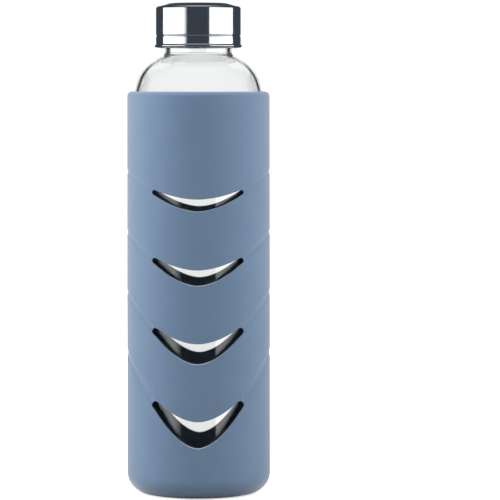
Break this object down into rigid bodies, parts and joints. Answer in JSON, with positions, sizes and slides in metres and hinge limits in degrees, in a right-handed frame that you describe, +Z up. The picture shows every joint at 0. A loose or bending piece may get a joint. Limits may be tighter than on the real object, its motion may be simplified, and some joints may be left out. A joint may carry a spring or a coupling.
{
  "type": "glass water bottle",
  "caption": "Tall round glass water bottle in a stretch-fitted silicone sleeve with wavy crescent windows, closed by a steel screw cap.",
  "frame": {"origin": "centre of the flat ring under the sleeve that the bottle stands on", "axes": "+Z up along the bottle's axis towards the cap; the sleeve's windows face -Y (front) and +Y (back), and the wave grooves peak at -X and +X"},
  "size_m": [0.0724, 0.0724, 0.2475],
  "materials": {
    "clear_glass": "clear polished soda-lime glass",
    "sleeve_silicone": "matte slate-blue silicone",
    "cap_steel": "polished stainless sheet",
    "insert_plastic": "natural white moulded polypropylene",
    "disc_steel": "brushed stainless sheet",
    "seal_silicone": "translucent white silicone"
  },
  "bodies": {
    "bottle": {"glass_bottle": "clear_glass", "silicone_sleeve": "sleeve_silicone"},
    "seal": {"cap_seal": "seal_silicone"},
    "cap": {"cap_shell": "cap_steel", "cap_thread_insert": "insert_plastic", "cap_inner_disc": "disc_steel"}
  },
  "joints": [
    {"name": "cap_lift", "type": "slide", "parent": "bottle", "child": "seal", "axis": [0, 0, 1], "range_m": [0, 0.0253]},
    {"name": "cap_turn", "type": "hinge", "parent": "seal", "child": "cap", "pos_m": [0, 0, 0.236], "axis": [0, 0, 1], "range_deg": [0, 2160]}
  ],
  "couplings": [
    {"joint": "cap_lift", "follows": "cap_turn", "m_per_rad": 0.00066845}
  ]
}
